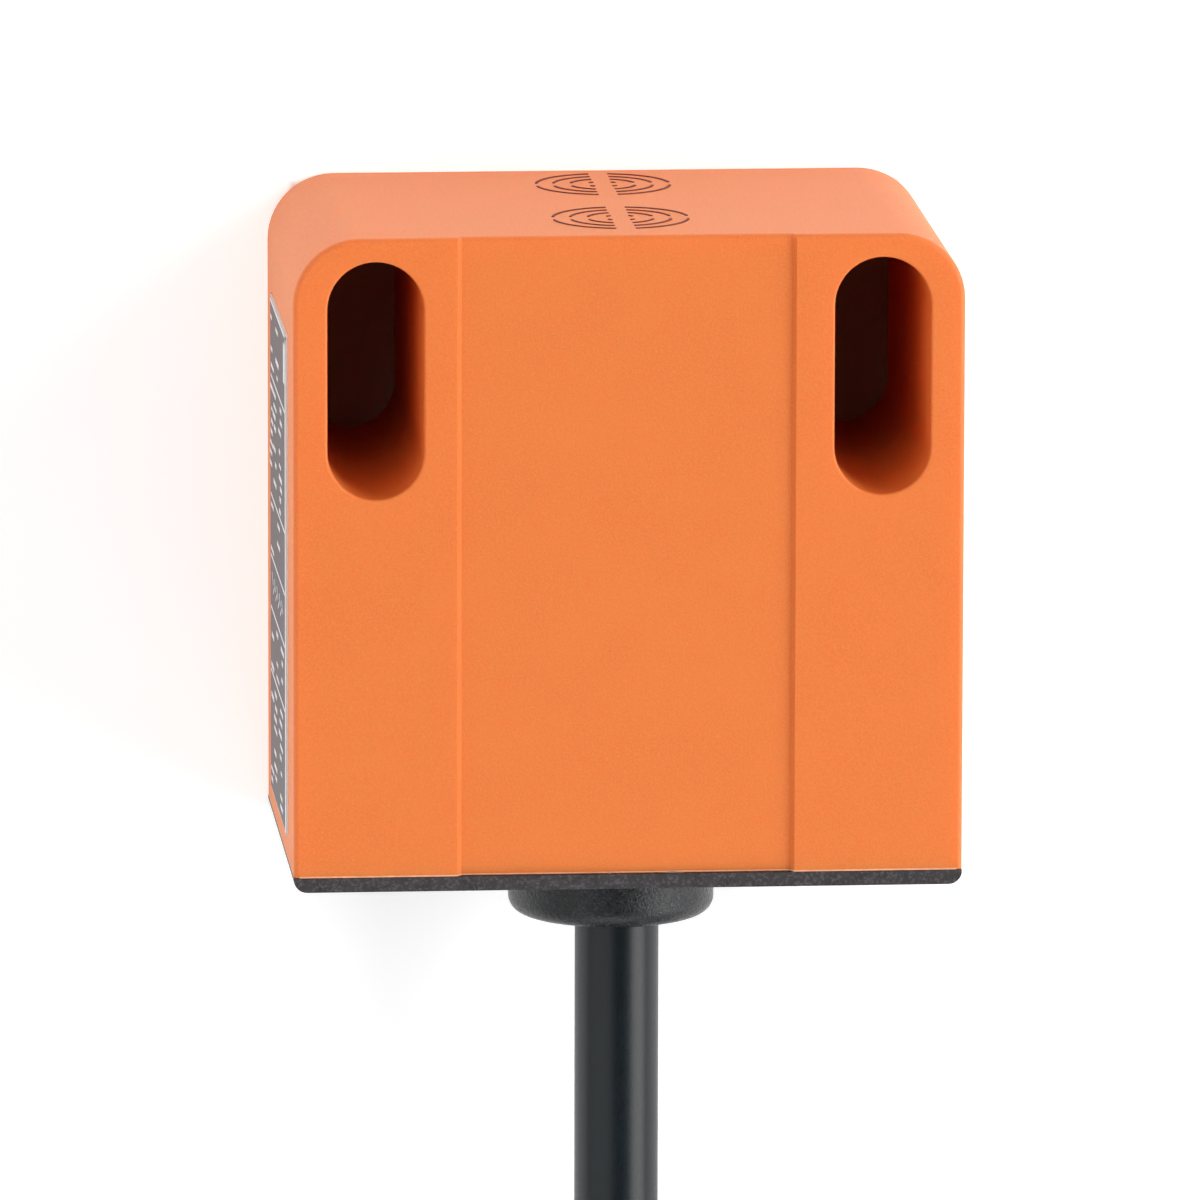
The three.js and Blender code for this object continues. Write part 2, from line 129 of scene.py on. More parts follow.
LABEL_GAP = 0.15
LABEL_RIM = 0.06
PRINT_THICKNESS = 0.012
RINGS = 4
RING_FIRST = 0.95
RING_STEP = 1.033
RING_CROSS = 1.13
RING_WIDTH = 0.16
RING_HEIGHT = 0.05
COIL_Z = 6.0
COIL_SPACING = 13.0
HIGHLIGHT_RIDGE_Y = Y_MOUTH - MOUTH_LOW + 0.035
HIGHLIGHT_RIDGE_RADIUS = 0.055
BEAD_Y = Y_COVER + 0.01
BEAD_Z = 25.67
BEADS = (  # (from x, to x), thickness
    ((2.2, 3.4), 0.085), ((-3.85, -3.72), 0.05), ((-1.25, -1.02), 0.06), ((1.4, 1.52), 0.05),
)
GUIDE_X = (-12, 12)
GUIDE_Z = 11.3

# ---- The cable's route ----

CABLE_DIAMETER = 5.1
CABLE_LENGTH = 2000
LEAD_STRAIGHT = (-23, -43.4)
LEAD_BEND = 21
HANK_X = 12
HANK_Y = -84.5
HANK_RUN = 20.92
TURN_OUTER = 26.7
TURN_INNER = 16
TURN_PITCH = 5.35
TURN_RISE = 5.2
TURN_LAYERS = 5
TURN_LIFT = 0.6
TURN_Z = TURN_LIFT + CABLE_DIAMETER / 2
TURN_TOP = TURN_LIFT + CABLE_DIAMETER + (TURN_LAYERS - 1) * TURN_RISE
TURN_STEPS = 110
CLIMB = 0.25
PATH_STEP = 1.5
TIE_PLACES = ((HANK_Y, 100), (HANK_Y - HANK_RUN, 290))  # y, and the way the tie faces in degrees
TIE_THICKNESS = 0.5
TIE_WIDTH = 4.5
TIE_SLACK = 0.1
CORE_RADIUS = 0.65
STRAND_RADIUS = 0.5
STRAND_REACH = (-0.5, 6.3)


def smooth_path(points, per_span):
    """Points along a smooth curve through the given ones (centripetal Catmull-Rom)."""
    p = [np.array(q, float) for q in points]
    p = [2 * p[0] - p[1]] + p + [2 * p[-1] - p[-2]]
    path = []
    for i in range(1, len(p) - 2):
        a, b, c, d = p[i - 1 : i + 3]
        t1 = np.linalg.norm(b - a) ** 0.5
        t2 = t1 + np.linalg.norm(c - b) ** 0.5
        t3 = t2 + np.linalg.norm(d - c) ** 0.5
        for k in range(per_span):
            t = t1 + (t2 - t1) * k / per_span
            ab = a + (b - a) * t / t1
            bc = b + (c - b) * (t - t1) / (t2 - t1)
            cd = c + (d - c) * (t - t2) / (t3 - t2)
            abc = ab + (bc - ab) * t / t2
            bcd = bc + (cd - bc) * (t - t1) / (t3 - t1)
            path.append(abc + (bcd - abc) * (t - t1) / (t2 - t1))
    path.append(p[-2])
    return path


def lead_path():
    """Straight out of the collar, then two bends down to the floor and across to the hank."""
    across = (HANK_X - TURN_OUTER - CABLE_X, TURN_Z - AXIS_Z)
    shift = math.hypot(*across)
    bend = math.acos(1 - shift / (2 * LEAD_BEND))
    inside, start = LEAD_STRAIGHT
    end = start - 2 * LEAD_BEND * math.sin(bend)

    def place(y, share):
        return np.array((CABLE_X + across[0] * share, y, AXIS_Z + across[1] * share))

    path = [place(y, 0) for y in np.arange(inside, start, -PATH_STEP)]
    steps = 16
    for k in range(steps):
        a = bend * k / steps
        path.append(place(start - LEAD_BEND * math.sin(a), LEAD_BEND * (1 - math.cos(a)) / shift))
    for k in range(steps, -1, -1):
        a = bend * k / steps
        path.append(place(end + LEAD_BEND * math.sin(a), 1 - LEAD_BEND * (1 - math.cos(a)) / shift))
    return path + [place(y, 1) for y in np.arange(end - PATH_STEP, HANK_Y + 0.5, -PATH_STEP)]


def on_hank(turn, radius, z):
    """A place on a turn of the hank; whole numbers are its near left corner."""
    middle = (TURN_OUTER + TURN_INNER) / 2
    half = math.pi * middle
    along = (turn % 1) * 2 * (HANK_RUN + half)
    if along < HANK_RUN:
        return np.array((HANK_X - radius, HANK_Y - along, z))
    along -= HANK_RUN
    if along < half:
        a = math.pi + along / middle
        return np.array((HANK_X + radius * math.cos(a), HANK_Y - HANK_RUN + radius * math.sin(a), z))
    along -= half
    if along < HANK_RUN:
        return np.array((HANK_X + radius, HANK_Y - HANK_RUN + along, z))
    a = (along - HANK_RUN) / middle
    return np.array((HANK_X + radius * math.cos(a), HANK_Y + radius * math.sin(a), z))


def hank_path():
    """The wound turns: in, up, out, up and in again, each layer on the one below."""
    sweep = (TURN_OUTER - TURN_INNER) / TURN_PITCH
    ends = (TURN_OUTER, TURN_INNER)
    turn, z = 0.0, TURN_Z
    path = []
    for layer in range(TURN_LAYERS):
        start, end = ends if layer % 2 == 0 else ends[::-1]
        steps = round(TURN_STEPS * sweep)
        for k in range(steps):
            path.append(on_hank(turn + sweep * k / steps, start + (end - start) * k / steps, z))
        turn += sweep
        if layer < TURN_LAYERS - 1:
            steps = round(TURN_STEPS * CLIMB)
            for k in range(steps):
                share = k / steps
                rise = share * share * (3 - 2 * share) * TURN_RISE
                path.append(on_hank(turn + CLIMB * share, end, z + rise))
            turn += CLIMB
            z += TURN_RISE
    for k in range(4):
        path.append(on_hank(turn + k / TURN_STEPS, TURN_INNER, z))
    return path


def trimmed(path, length):
    """The path cut off at a length."""
    kept = [path[0]]
    left = length
    for a, b in zip(path, path[1:]):
        step = np.linalg.norm(b - a)
        if step >= left:
            kept.append(a + (b - a) * left / step)
            break
        kept.append(b)
        left -= step
    return kept


def cable_route():
    """The whole cable, from inside the collar to the end of its jacket."""
    inside = LEAD_STRAIGHT[0] - Y_COLLAR_END
    return trimmed(lead_path() + hank_path(), CABLE_LENGTH + inside)


# ---- Making meshes ----


def object_from(name, points, faces, finish=None):
    """A new object in the scene, from points in millimetres and lists of their numbers."""
    mesh = bpy.data.meshes.new(name)
    mesh.from_pydata([tuple(p) for p in points], [], faces)
    if finish:
        mesh.materials.append(finish)
    mesh.update()
    piece = bpy.data.objects.new(name, mesh)
    bpy.context.scene.collection.objects.link(piece)
    return piece


def face_outwards(piece):
    """Joins points that coincide and turns every face outwards."""
    shape = bmesh.new()
    shape.from_mesh(piece.data)
    bmesh.ops.remove_doubles(shape, verts=shape.verts, dist=1e-6)
    bmesh.ops.recalc_face_normals(shape, faces=shape.faces)
    shape.to_mesh(piece.data)
    shape.free()
    return piece


def loft(name, rings, finish=None):
    """A closed skin over equally long rings of points, capped at both ends."""
    count = len(rings[0])
    points = [p for ring in rings for p in ring]
    faces = [list(range(count))[::-1]]
    for i in range(len(rings) - 1):
        for k in range(count):
            n = (k + 1) % count
            a, b = i * count, (i + 1) * count
            faces.append([a + k, a + n, b + n, b + k])
    faces.append(list(range((len(rings) - 1) * count, len(rings) * count)))
    return face_outwards(object_from(name, points, faces, finish))


def outline(x, y, radii, steps):
    """A rectangle with rounded corners, counterclockwise from the lowest corner."""
    corners = (
        (x[0], y[0], 1, 1, 180), (x[1], y[0], -1, 1, 270),
        (x[1], y[1], -1, -1, 0), (x[0], y[1], 1, -1, 90),
    )
    points = []
    for (cx, cy, sx, sy, start), r in zip(corners, radii):
        for k in range(steps + 1):
            a = math.radians(start + 90 * k / steps)
            points.append((cx + sx * r + r * math.cos(a), cy + sy * r + r * math.sin(a)))
    return points


def edge_steps(radius, z, steps, upper):
    """(inset, height) pairs round a quarter of an edge, at the bottom or at the top."""
    pairs = []
    for k in range(steps + 1):
        a = math.pi / 2 * k / steps
        inset, rise = radius * (1 - math.sin(a)), radius * (1 - math.cos(a))
        pairs.append((inset, z - rise if upper else z + rise))
    return pairs[::-1] if upper else pairs


def block(name, x, y, z, radii, back, front, corner_steps=14, steps=6, finish=None):
    """A block with rounded corners in plan and rounded edges at its back and its front."""
    rings = []
    for inset, height in edge_steps(back, z[0], steps, False) + edge_steps(front, z[1], steps, True):
        held = [max(r - inset, 0.02) for r in radii]
        plan = outline(
            (x[0] + inset, x[1] - inset), (y[0] + inset, y[1] - inset), held, corner_steps
        )
        rings.append([(px, py, height) for px, py in plan])
    return loft(name, rings, finish)


def box(name, x, y, z):
    plan = ((x[0], y[0]), (x[1], y[0]), (x[1], y[1]), (x[0], y[1]))
    return loft(name, [[(px, py, height) for px, py in plan] for height in z])


def turned(name, profile, x, z, sides, finish=None):
    """A turned ring about an axis along Y. Profile points are (radius, y, shift in X)."""
    count = len(profile)
    points, faces = [], []
    for s in range(sides):
        a = 2 * math.pi * s / sides
        points += [(x + shift + r * math.cos(a), y, z + r * math.sin(a)) for r, y, shift in profile]
        for k in range(count):
            n, t = (k + 1) % count, (s + 1) % sides
            faces.append([s * count + k, s * count + n, t * count + n, t * count + k])
    return face_outwards(object_from(name, points, faces, finish))


def rod(name, radius, ends, x, z, sides=48):
    """A plain round rod along Y, between two ends."""
    angles = [2 * math.pi * k / sides for k in range(sides)]
    return loft(name, [
        [(x + radius * math.cos(a), y, z + radius * math.sin(a)) for a in angles] for y in ends
    ])


def evaluated_mesh(piece):
    """Keeps the mesh that the modifiers make, and drops the modifiers."""
    graph = bpy.context.evaluated_depsgraph_get()
    mesh = bpy.data.meshes.new_from_object(piece.evaluated_get(graph))
    piece.modifiers.clear()
    old, piece.data = piece.data, mesh
    mesh.name = piece.name
    bpy.data.meshes.remove(old)
    return piece


def shaped(body, tools, operation="DIFFERENCE"):
    """Cuts tools out of a body, or joins them to it, and throws the tools away."""
    for tool in tools:
        change = body.modifiers.new("shape", "BOOLEAN")
        change.operation = operation
        change.solver = "EXACT"
        change.object = tool
    evaluated_mesh(body)
    for tool in tools:
        bpy.data.objects.remove(tool)
    return body


def finished(piece, stands_for=(), sharp=40, weighted=True):
    """Puts a piece into metres, shades it, and hands it to the frame."""
    piece.data.transform(Matrix.Scale(MM, 4))
    piece.data.shade_smooth()
    piece.data.set_sharp_from_angle(angle=math.radians(sharp))
    if weighted:
        even = piece.modifiers.new("even_shading", "WEIGHTED_NORMAL")
        even.keep_sharp = True
        even.weight = 50
        evaluated_mesh(piece)
    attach(piece, "root")
    if stands_for:
        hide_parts(*stands_for)
    return piece


def tube(name, path, radius, sides, finish):
    """A round bar along a path, with its own length and girth as a UV map."""
    p = np.array(path)
    ahead = np.gradient(p, axis=0)
    ahead /= np.linalg.norm(ahead, axis=1)[:, None]
    side = np.cross(ahead[0], (0, 0, 1.0))
    if np.linalg.norm(side) < 0.1:
        side = np.cross(ahead[0], (1.0, 0, 0))
    side /= np.linalg.norm(side)
    run = np.concatenate(([0], np.cumsum(np.linalg.norm(np.diff(p, axis=0), axis=1))))
    points, faces, uvs = [], [], []
    for centre, along in zip(p, ahead):
        side = side - along * np.dot(side, along)
        side /= np.linalg.norm(side)
        up = np.cross(along, side)
        for k in range(sides):
            a = 2 * math.pi * k / sides
            points.append(centre + radius * (math.cos(a) * side + math.sin(a) * up))
    for i in range(len(p) - 1):
        for k in range(sides):
            n = (k + 1) % sides
            a, b = i * sides, (i + 1) * sides
            faces.append([a + k, a + n, b + n, b + k])
            u0, u1 = k / sides, (k + 1) / sides
            v0, v1 = run[i] * MM, run[i + 1] * MM
            uvs += [(u0, v0), (u1, v0), (u1, v1), (u0, v1)]
    last = (len(p) - 1) * sides
    faces.append(list(range(sides))[::-1])
    faces.append([last + k for k in range(sides)])
    uvs += [(0.5, 0)] * sides + [(0.5, run[-1] * MM)] * sides
    piece = object_from(name, points, faces, finish)
    layer = piece.data.uv_layers.new(name="along")
    layer.data.foreach_set("uv", np.array(uvs, dtype=np.float32).ravel())
    shape = bmesh.new()
    shape.from_mesh(piece.data)
    if shape.calc_volume(signed=True) < 0:
        bmesh.ops.reverse_faces(shape, faces=shape.faces)
        shape.to_mesh(piece.data)
    shape.free()
    return piece


# ---- Finishes ----


class Finish:
    """A material and the nodes that its pattern is made of; colours are given from 0 to 255."""

    def __init__(self, name, colour, roughness, **sockets):
        self.material = bpy.data.materials.new(name)
        self.material.use_nodes = True
        self.nodes = self.material.node_tree.nodes
        self.links = self.material.node_tree.links
        self.shader = self.nodes["Principled BSDF"]
        self.colour = tuple(linear(c) for c in colour) + (1,)
        self.shader.inputs["Base Color"].default_value = self.colour
        self.shader.inputs["Roughness"].default_value = roughness
        for socket, value in sockets.items():
            self.shader.inputs[socket.replace("_", " ")].default_value = value
        self.place = self.nodes.new("ShaderNodeTexCoord").outputs["Object"]

    def noise(self, size, detail=2, rough=0.5, stretch=(1, 1, 1), place=None):
        """Noise whose blotches are about size millimetres across."""
        spread = self.nodes.new("ShaderNodeMapping")
        spread.inputs["Scale"].default_value = stretch
        self.links.new(place or self.place, spread.inputs["Vector"])
        texture = self.nodes.new("ShaderNodeTexNoise")
        texture.inputs["Scale"].default_value = 1 / (size * MM)
        texture.inputs["Detail"].default_value = detail
        texture.inputs["Roughness"].default_value = rough
        self.links.new(spread.outputs["Vector"], texture.inputs["Vector"])
        return texture.outputs["Fac"]

    def ramp(self, value, *stops):
        """Maps a value through (place, level or colour) stops."""
        ramp = self.nodes.new("ShaderNodeValToRGB")
        elements = ramp.color_ramp.elements
        while len(elements) < len(stops):
            elements.new(0.5)
        for element, (place, level) in zip(elements, stops):
            element.position = place
            rgb = level if isinstance(level, tuple) else (level,) * 3
            element.color = (*rgb[:3], 1)
        self.links.new(value, ramp.inputs["Fac"])
        return ramp.outputs["Color"]

    def shade(self, value, low, high):
        """Colours the surface from low to high times its own colour."""
        dark = tuple(c * low for c in self.colour[:3])
        light = tuple(min(c * high, 1) for c in self.colour[:3])
        return self.ramp(value, (0.3, dark), (0.7, light))

    def fill(self, pairs):
        """Wires or sets each socket."""
        for socket, value in pairs:
            if isinstance(value, bpy.types.NodeSocket):
                self.links.new(value, socket)
            else:
                socket.default_value = value

    def mix(self, share, a, b):
        """Colour a, going over to colour b as share goes from 0 to 1."""
        node = self.nodes.new("ShaderNodeMix")
        node.data_type = "RGBA"
        self.fill(((node.inputs["Factor"], share), (node.inputs[6], a), (node.inputs[7], b)))
        return node.outputs[2]

    def maths(self, kind, a, b=0.0):
        node = self.nodes.new("ShaderNodeMath")
        node.operation = kind
        self.fill(((node.inputs[0], a), (node.inputs[1], b)))
        return node.outputs[0]

    def paint(self, colour):
        self.links.new(colour, self.shader.inputs["Base Color"])

    def rough(self, value, low, high):
        self.links.new(self.ramp(value, (0.3, low), (0.7, high)), self.shader.inputs["Roughness"])

    def bump(self, height, depth, strength=1.0):
        """Raises the surface by up to depth millimetres."""
        node = self.nodes.new("ShaderNodeBump")
        node.inputs["Strength"].default_value = strength
        node.inputs["Distance"].default_value = depth * MM
        self.links.new(height, node.inputs["Height"])
        before = self.shader.inputs["Normal"]
        if before.is_linked:
            self.links.new(before.links[0].from_socket, node.inputs["Normal"])
        self.links.new(node.outputs["Normal"], before)


def linear(level):
    """A screen colour level from 0 to 255 as an amount of light from 0 to 1."""
    level /= 255
    return level / 12.92 if level <= 0.04045 else ((level + 0.055) / 1.055) ** 2.4


def orange_plastic():
    """Slightly translucent orange moulding with a fine spark-eroded grain and pale specks."""
    f = Finish(
        "orange_moulding", (228, 120, 50), 0.42, IOR=1.5, Subsurface_Weight=0.4, Subsurface_Scale=0.0018,
    )
    f.shader.inputs["Subsurface Radius"].default_value = (1.0, 0.22, 0.08)
    own = f.colour[:3]

    def tint(red, green, blue):
        return (own[0] * red, own[1] * green, own[2] * blue)

    grain = f.noise(0.17, 2, 0.6)
    fine = f.ramp(f.noise(0.12, 2, 0.7), (0.3, tint(0.94, 0.9, 0.8)), (0.7, tint(1.05, 1.1, 1.22)))
    cloud = f.ramp(f.noise(5, 2, 0.5), (0.35, 0), (0.65, 0.35))
    specks = f.ramp(f.noise(0.4, 3, 0.7), (0.64, 0), (0.74, 0.5))
    body = f.mix(cloud, fine, (*tint(1.03, 1.08, 1.12), 1))
    f.paint(f.mix(specks, body, (*tint(1.08, 1.35, 1.9), 1)))
    f.rough(grain, 0.48, 0.62)
    f.bump(grain, 0.02, 0.7)
    f.bump(f.noise(1.3, 1, 0.5), 0.01, 0.3)
    return f.material


def black_plastic(name, colour, roughness, grain_size, depth, glint_level, gloss):
    """Moulded black plastic with a coarse matt grain and light specks, painted glints of the grain, their level times
    its colour.
    """
    f = Finish(name, colour, roughness, IOR=1.5, Specular_IOR_Level=gloss)
    grain = f.noise(grain_size, 3, 0.65)
    cloud = f.shade(f.noise(0.9, 3, 0.7), 0.6, 1.45)
    # Painted highlight: pale specks on the grain stand in for its glints.
    specks = f.ramp(f.noise(grain_size * 1.2, 2, 0.6), (0.5, 0), (0.64, 0.8))
    f.paint(f.mix(specks, cloud, (*(min(c * glint_level, 1) for c in f.colour[:3]), 1)))
    f.rough(grain, roughness - 0.12, roughness + 0.16)
    f.bump(grain, depth, 0.9)
    return f.material


def jacket_plastic():
    """Black sheath with a fine grain and faint drawn lines along it."""
    f = Finish("cable_jacket", (7, 18, 23), 0.36, IOR=1.5, Specular_IOR_Level=0.42)
    place = f.nodes.new("ShaderNodeTexCoord").outputs["UV"]
    along = f.noise(0.02, 2, 0.5, stretch=(0.004, 0.3, 1), place=place)
    grain = f.noise(0.12, 2, 0.5)
    f.paint(f.shade(f.noise(2.5, 3, 0.6), 0.85, 1.2))
    f.rough(grain, 0.31, 0.41)
    f.bump(grain, 0.005, 0.5)
    f.bump(along, 0.006, 0.4)
    return f.material


def plain(name, colour, roughness, size, low=0.85, high=1.15, depth=0.01, **sockets):
    """A finish with some cloudiness and a fine grain."""
    f = Finish(name, colour, roughness, **sockets)
    cloud = f.noise(size, 3, 0.6)
    grain = f.noise(size / 6, 2, 0.6)
    f.paint(f.shade(cloud, low, high))
    f.rough(grain, max(roughness - 0.06, 0.03), min(roughness + 0.08, 1))
    f.bump(grain, depth, 0.6)
    return f.material


ORANGE = orange_plastic()
COVER = black_plastic("cover_plastic", (41, 37, 39), 0.5, 0.16, 0.06, 3.6, 0.5)
COLLAR = black_plastic("collar_plastic", (8, 10, 13), 0.3, 0.2, 0.07, 8, 0.5)
JACKET = jacket_plastic()
RING_BROWN = plain("ring_brown", (122, 36, 25), 0.7, 0.4, 0.7, 1.2, 0.01)
LABEL_FOIL = plain("label_foil", (74, 66, 69), 0.5, 0.5, 0.9, 1.1, 0.004)
LABEL_INK = plain("label_ink", (230, 234, 240), 0.35, 0.5, 0.75, 1.0, 0.003)
LABEL_CORE = plain("label_core", (244, 243, 240), 0.4, 0.5, 0.95, 1.02, 0.003)
TIE = plain("tie_plastic", (222, 222, 216), 0.4, 0.8, 0.95, 1.02, 0.01)
# Painted highlight: a pale orange for the thin ridge along the mouth's edge.
RIDGE_HIGHLIGHT_PAINT = plain("painted_edge_highlight", (250, 172, 132), 0.5, 0.6, 0.8, 1.1, 0.005, IOR=1.5)
# Painted highlight: drops of casting resin coloured pale as a glint at the seam, not the dark resin's own colour.
RESIN_BEAD_GLINT = plain("seam_bead", (150, 130, 125), 0.2, 0.3, 0.85, 1.1, 0.01)

# ---- The cable first, because its room decides the rest ----

route = cable_route()
cable = tube("sensor_cable", route, CABLE_DIAMETER / 2, 28, JACKET)
finished(cable, ("cable", "cable_coil"), weighted=False)

# ---- Housing ----


def slot_rings(x, grow, heights):
    """Rings of a slot's outline; each height has its own growth."""
    rings = []
    for inset, z in heights:
        r = SLOT_WIDTH / 2 + grow + inset
        ring = []
        for k in range(25):
            a = math.pi * k / 24
            ring.append((x + r * math.cos(a), SLOT_TOP - SLOT_WIDTH / 2 + r * math.sin(a), z))
        for k in range(25):
            a = math.pi + math.pi * k / 24
            ring.append((x + r * math.cos(a), SLOT_BOTTOM + SLOT_WIDTH / 2 + r * math.sin(a), z))
        rings.append(ring)
    return rings


def slot_cutter(x):
    """A slot's shape right through the housing, wider at both rims."""
    back = edge_steps(SLOT_RIM, 0, 5, False)
    front = edge_steps(SLOT_RIM, DEPTH, 5, True)
    seam = list(zip((0, -SLOT_SEAM, -SLOT_SEAM, 0), SLOT_SEAM_Z))
    heights = [(SLOT_RIM, -1)] + back + seam + front + [(SLOT_RIM, DEPTH + 1)]
    return loft("slot_cutter", slot_rings(x, 0, heights))


def panel_cutter():
    """The set-back middle of the front, with a sloping side and the housing's own rounded top edge."""
    left, right = PANEL_X
    high = DEPTH + 0.4
    spread = 2 * PANEL_RAMP * (high - DEPTH + PANEL_STEP) / PANEL_STEP
    edge = [(Y_MOUTH - 1, 0)]
    for k in range(9):
        a = math.pi / 2 * k / 8
        edge.append((Y_SENSE - FRONT_EDGE * (1 - math.sin(a)), FRONT_EDGE * (1 - math.cos(a))))
    edge.append((Y_SENSE + 1, FRONT_EDGE))
    rings = []
    for y, drop in edge:
        low = DEPTH - PANEL_STEP - drop
        rings.append([
            (left + PANEL_RAMP, y, low), (right - PANEL_RAMP, y, low),
            (right - PANEL_RAMP + spread, y, high), (left + PANEL_RAMP - spread, y, high),
        ])
    return loft("panel_cutter", rings)


def mouth_cutter(x, z):
    """Trims the mouth square, with a narrow bevel along its front edge at height z."""
    y = Y_MOUTH - MOUTH_LOW
    section = (
        (y - 2, -1), (y, -1), (y, z - MOUTH_DROP), (y + MOUTH_BEVEL, z),
        (y + 5 * MOUTH_BEVEL, z + 4 * MOUTH_DROP), (y - 2, z + 4 * MOUTH_DROP),
    )
    return loft("mouth_cutter", [[(px, py, pz) for py, pz in section] for px in x])


def make_tree(name, inputs):
    """An empty geometry tree with named inputs, given as (name, kind)."""
    tree = bpy.data.node_groups.new(name, "GeometryNodeTree")
    tree.interface.new_socket("Geometry", in_out="INPUT", socket_type="NodeSocketGeometry")
    tree.interface.new_socket("Geometry", in_out="OUTPUT", socket_type="NodeSocketGeometry")
    for label, kind in inputs:
        tree.interface.new_socket(label, in_out="INPUT", socket_type="NodeSocket" + kind)
    return tree, tree.nodes.new("NodeGroupInput").outputs, tree.nodes.new("NodeGroupOutput")


def put(tree, kind, *wires, **values):
    """A node of a kind, its inputs wired or set by (socket, value), its properties by name."""
    node = tree.nodes.new(kind)
    for key, value in values.items():
        setattr(node, key, value)
    for socket, value in wires:
        target = node.inputs[socket]
        if isinstance(value, bpy.types.NodeSocket):
            tree.links.new(value, target)
        else:
            target.default_value = value
    return node


def end_tree(tree, copies, finish, result):
    """Makes the copies real, gives them their material and sends them out."""
    real = put(tree, "GeometryNodeRealizeInstances", ("Geometry", copies))
    done = put(tree, "GeometryNodeSetMaterial", ("Geometry", real.outputs[0]), ("Material", finish))
    tree.links.new(done.outputs[0], result.inputs[0])


def grown(piece, tree, values):
    """Runs a tree on an object, with its inputs set by identifier, and keeps the mesh."""
    change = piece.modifiers.new("growth", "NODES")
    change.node_group = tree
    for socket in tree.interface.items_tree:
        if socket.in_out == "INPUT" and socket.name in values:
            change[socket.identifier] = values[socket.name]
    return evaluated_mesh(piece)


def ring_mark_tree():
    """Concentric rings in four quarters, once over each sensing coil."""
    tree, given, result = make_tree("ring_marks", (
        ("Rings", "Int"), ("Inner Radius", "Float"), ("Step", "Float"), ("Cross Gap", "Float"),
        ("Line Width", "Float"), ("Line Height", "Float"), ("First Coil", "Vector"),
        ("Coil Spacing", "Vector"), ("Material", "Material"),
    ))
    inner = put(tree, "ShaderNodeCombineXYZ", ("X", given["Inner Radius"])).outputs[0]
    step = put(tree, "ShaderNodeCombineXYZ", ("X", given["Step"])).outputs[0]
    line = put(
        tree, "GeometryNodeMeshLine", ("Count", given["Rings"]), ("Start Location", inner),
        ("Offset", step),
    )
    place = put(tree, "GeometryNodeInputPosition").outputs[0]
    reach = put(tree, "ShaderNodeSeparateXYZ", ("Vector", place)).outputs["X"]
    kept = put(tree, "GeometryNodeCaptureAttribute", ("Geometry", line.outputs["Mesh"]))
    kept.capture_items.new("FLOAT", "radius")
    tree.links.new(reach, kept.inputs[1])
    centre = put(tree, "ShaderNodeCombineXYZ").outputs[0]
    middle = put(
        tree, "GeometryNodeSetPosition", ("Geometry", kept.outputs["Geometry"]), ("Position", centre),
    )
    circle = put(tree, "GeometryNodeMeshCircle", ("Vertices", 480), ("Radius", 1.0))
    rings = put(
        tree, "GeometryNodeInstanceOnPoints", ("Points", middle.outputs[0]),
        ("Instance", circle.outputs[0]), ("Scale", kept.outputs[1]),
    )
    loose = put(tree, "GeometryNodeRealizeInstances", ("Geometry", rings.outputs[0]))
    split = put(tree, "ShaderNodeSeparateXYZ", ("Vector", place))

    def maths(kind, a, b=0.0):
        return put(tree, "ShaderNodeMath", (0, a), (1, b), operation=kind).outputs[0]

    half = maths("MULTIPLY", given["Cross Gap"], 0.5)
    near = [maths("LESS_THAN", maths("ABSOLUTE", split.outputs[axis]), half) for axis in ("X", "Y")]
    inside = maths("MAXIMUM", *near)
    arcs = put(tree, "GeometryNodeDeleteGeometry", ("Geometry", loose.outputs[0]), ("Selection", inside))
    curves = put(tree, "GeometryNodeMeshToCurve", ("Mesh", arcs.outputs[0]))
    fewer = put(
        tree, "GeometryNodeResampleCurve", ("Curve", curves.outputs[0]), ("Length", 0.12), mode="LENGTH",
    )
    upright = put(tree, "GeometryNodeSetCurveNormal", ("Curve", fewer.outputs[0]), mode="Z_UP")
    section = put(
        tree, "GeometryNodeCurvePrimitiveQuadrilateral",
        ("Width", given["Line Width"]), ("Height", given["Line Height"]),
    )
    bars = put(
        tree, "GeometryNodeCurveToMesh", ("Curve", upright.outputs[0]),
        ("Profile Curve", section.outputs[0]), ("Fill Caps", True),
    )
    coils = put(
        tree, "GeometryNodeMeshLine", ("Count", 2),
        ("Start Location", given["First Coil"]), ("Offset", given["Coil Spacing"]),
    )
    both = put(
        tree, "GeometryNodeInstanceOnPoints", ("Points", coils.outputs[0]),
        ("Instance", bars.outputs[0]), ("Rotation", (math.pi / 2, 0, 0)),
    )
    end_tree(tree, both.outputs[0], given["Material"], result)
    return tree


def make_ring_marks():
    """The rings over the two coils, which stand up by RING_HEIGHT."""
    tree = ring_mark_tree()
    rings = object_from("sensing_ring_marks", [(0, 0, 0)], [])
    grown(rings, tree, {
        "Rings": RINGS, "Inner Radius": RING_FIRST, "Step": RING_STEP, "Cross Gap": RING_CROSS,
        "Line Width": RING_WIDTH, "Line Height": 2 * RING_HEIGHT,
        "First Coil": (0.0, Y_SENSE, COIL_Z), "Coil Spacing": (0.0, 0.0, COIL_SPACING),
        "Material": RING_BROWN,
    })
    finished(face_outwards(rings), weighted=False)


